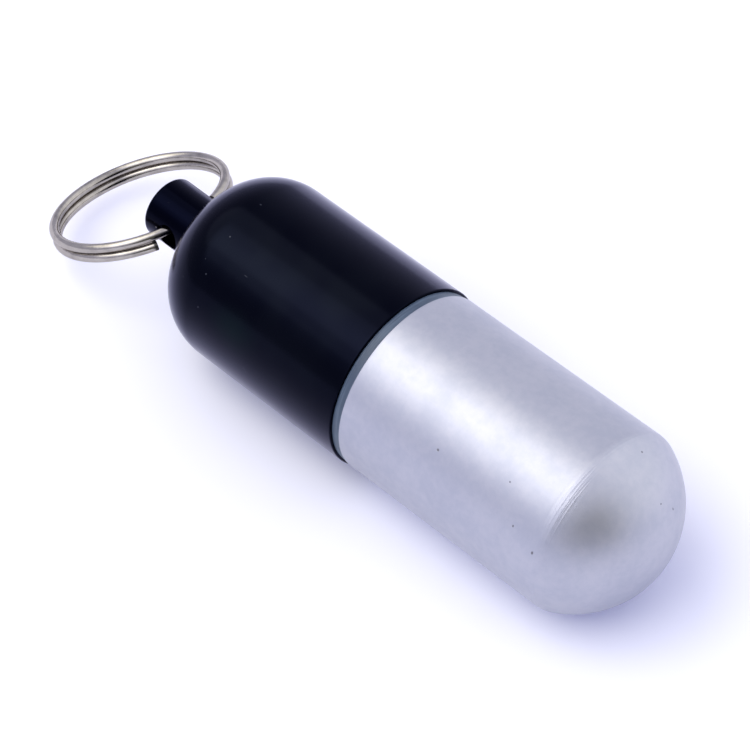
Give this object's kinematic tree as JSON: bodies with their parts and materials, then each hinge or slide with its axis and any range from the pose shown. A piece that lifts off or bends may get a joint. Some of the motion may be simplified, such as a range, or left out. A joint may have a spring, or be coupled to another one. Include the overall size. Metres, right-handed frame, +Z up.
{
  "type": "pill capsule key fob",
  "caption": "Screw-top pill capsule: black cap with rounded shoulder and drilled knob, rubber seal, satin domed cup, split key ring.",
  "frame": {"origin": "on the capsule's axis where the cup's full-diameter barrel begins, beside the seal", "axes": "+X along the capsule towards the cup's domed end, +Z up as the fob lies on a table, +Y along the knob's cross-hole"},
  "size_m": [0.1027, 0.0258, 0.0254],
  "materials": {
    "black_anodise": "black anodised, smooth satin",
    "seal_rubber": "moulded blue-grey rubber",
    "satin_aluminium": "fine-turned satin, clear anodised",
    "nickel_wire": "bright nickel plate on spring steel"
  },
  "bodies": {
    "screw_cap": {"screw_cap": "black_anodise"},
    "seal_ring": {"seal_ring": "seal_rubber"},
    "pill_cup": {"pill_cup": "satin_aluminium"},
    "split_ring": {"split_ring": "nickel_wire"}
  },
  "joints": [
    {"name": "cup_advance", "type": "slide", "parent": "screw_cap", "child": "seal_ring", "axis": [1, 0, 0], "range_m": [0, 0.00901]},
    {"name": "cup_turn", "type": "hinge", "parent": "seal_ring", "child": "pill_cup", "pos_m": [0, 0, 0], "axis": [1, 0, 0], "range_deg": [0, 2160]},
    {"name": "ring_swing", "type": "hinge", "parent": "screw_cap", "child": "split_ring", "pos_m": [-0.04025, 0, 0], "axis": [0, 1, 0], "range_deg": [-116, 164]}
  ],
  "couplings": [
    {"joint": "cup_advance", "follows": "cup_turn", "m_per_rad": 0.00023873}
  ]
}
